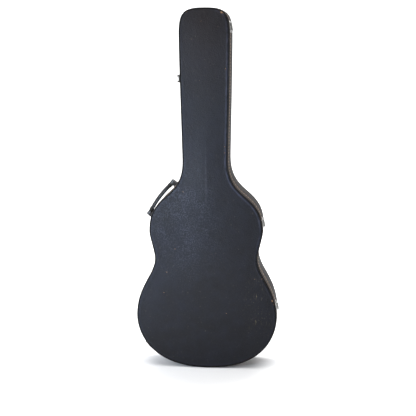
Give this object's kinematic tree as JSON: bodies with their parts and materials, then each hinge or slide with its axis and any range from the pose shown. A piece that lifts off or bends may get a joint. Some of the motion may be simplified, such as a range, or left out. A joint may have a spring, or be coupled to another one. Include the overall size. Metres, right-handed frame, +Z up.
{
  "type": "guitar case",
  "caption": "Hard-shell guitar case in black leatherette with edge piping, side hinges, latches, a carrying handle and a plush-lined inside.",
  "frame": {"origin": "middle of the lowest point of the case, standing upright on its lower end, half way through its depth", "axes": "+Z up along the case towards the head, -Y out of the lid's face, +X towards the hinge side"},
  "size_m": [0.4314, 0.12, 1.074],
  "materials": {
    "leatherette": "fine-grained, satin, scuffed",
    "piping": "smooth, satin",
    "plush": "short matt pile",
    "hardware_chrome": "dulled plating",
    "hardware_brass": "tarnished",
    "handle_plastic": "moulded, satin",
    "handle_end_metal": "aged, satin",
    "pull_ribbon": "woven, matt"
  },
  "bodies": {
    "shell": {"body_panel": "leatherette", "body_piping": "piping", "body_lining": "plush", "body_lower_bout_side_left": "leatherette", "body_lower_bout_side_right": "leatherette", "body_upper_bout_side_left": "leatherette", "body_upper_bout_side_right": "leatherette", "body_neck_side_left": "leatherette", "body_neck_side_right": "leatherette", "lower_bout_lining_left": "plush", "lower_bout_lining_right": "plush", "upper_bout_lining_left": "plush", "upper_bout_lining_right": "plush", "neck_lining_left": "plush", "neck_lining_right": "plush", "neck_cradle": "plush", "compartment_wall": "plush", "compartment_pin": "hardware_chrome", "hinge_head_body_leaf": "hardware_chrome", "hinge_head_pin": "hardware_chrome", "hinge_upper_body_leaf": "hardware_chrome", "hinge_upper_pin": "hardware_chrome", "hinge_lower_body_leaf": "hardware_chrome", "hinge_lower_pin": "hardware_chrome", "latch_neck_base": "hardware_brass", "latch_neck_link_pin": "hardware_brass", "latch_lower_base": "hardware_brass", "latch_lower_link_pin": "hardware_brass", "handle_post_upper": "handle_end_metal", "handle_post_lower": "handle_end_metal", "handle_pin_upper": "handle_end_metal", "handle_pin_lower": "handle_end_metal"},
    "lid": {"lid_panel": "leatherette", "lid_piping": "piping", "lid_lining": "plush", "lid_lower_bout_side_left": "leatherette", "lid_lower_bout_side_right": "leatherette", "lid_upper_bout_side_left": "leatherette", "lid_upper_bout_side_right": "leatherette", "lid_neck_side_left": "leatherette", "lid_neck_side_right": "leatherette", "hinge_head_lid_leaf": "hardware_chrome", "hinge_upper_lid_leaf": "hardware_chrome", "hinge_lower_lid_leaf": "hardware_chrome", "latch_neck_catch": "hardware_brass", "latch_lower_catch": "hardware_brass"},
    "handle": {"handle_grip": "handle_plastic"},
    "accessory_lid": {"compartment_lid": "plush", "compartment_tab": "pull_ribbon"},
    "neck_link": {"latch_neck_link": "hardware_brass", "latch_neck_lever_pin": "hardware_brass"},
    "neck_lever": {"latch_neck_lever": "hardware_brass"},
    "lower_link": {"latch_lower_link": "hardware_brass", "latch_lower_lever_pin": "hardware_brass"},
    "lower_lever": {"latch_lower_lever": "hardware_brass"}
  },
  "joints": [
    {"name": "lid_hinge", "type": "hinge", "parent": "shell", "child": "lid", "pos_m": [0.17182, -0.03, 0.45217], "axis": [-0.1641, 0, 0.9864], "range_deg": [0, 105]},
    {"name": "neck_link_hinge", "type": "hinge", "parent": "shell", "child": "neck_link", "pos_m": [-0.07621, -0.001, 0.87391], "axis": [0.0193, 0, -0.9998], "range_deg": [0, 95]},
    {"name": "neck_lever_hinge", "type": "hinge", "parent": "neck_link", "child": "neck_lever", "pos_m": [-0.07861, -0.035, 0.87387], "axis": [-0.0193, 0, 0.9998], "range_deg": [0, 100]},
    {"name": "lower_link_hinge", "type": "hinge", "parent": "shell", "child": "lower_link", "pos_m": [-0.18139, -0.001, 0.0651], "axis": [0.6311, 0, -0.7757], "range_deg": [0, 95]},
    {"name": "lower_lever_hinge", "type": "hinge", "parent": "lower_link", "child": "lower_lever", "pos_m": [-0.18325, -0.035, 0.06358], "axis": [-0.6311, 0, 0.7757], "range_deg": [0, 100]},
    {"name": "handle_pivot", "type": "hinge", "parent": "shell", "child": "handle", "pos_m": [-0.14045, 0, 0.51728], "axis": [-0.6059, 0, -0.7956], "range_deg": [-8, 48]},
    {"name": "accessory_lid_hinge", "type": "hinge", "parent": "shell", "child": "accessory_lid", "pos_m": [0.05186, 0.0051, 0.753], "axis": [0, 0, 1], "range_deg": [0, 25]}
  ]
}
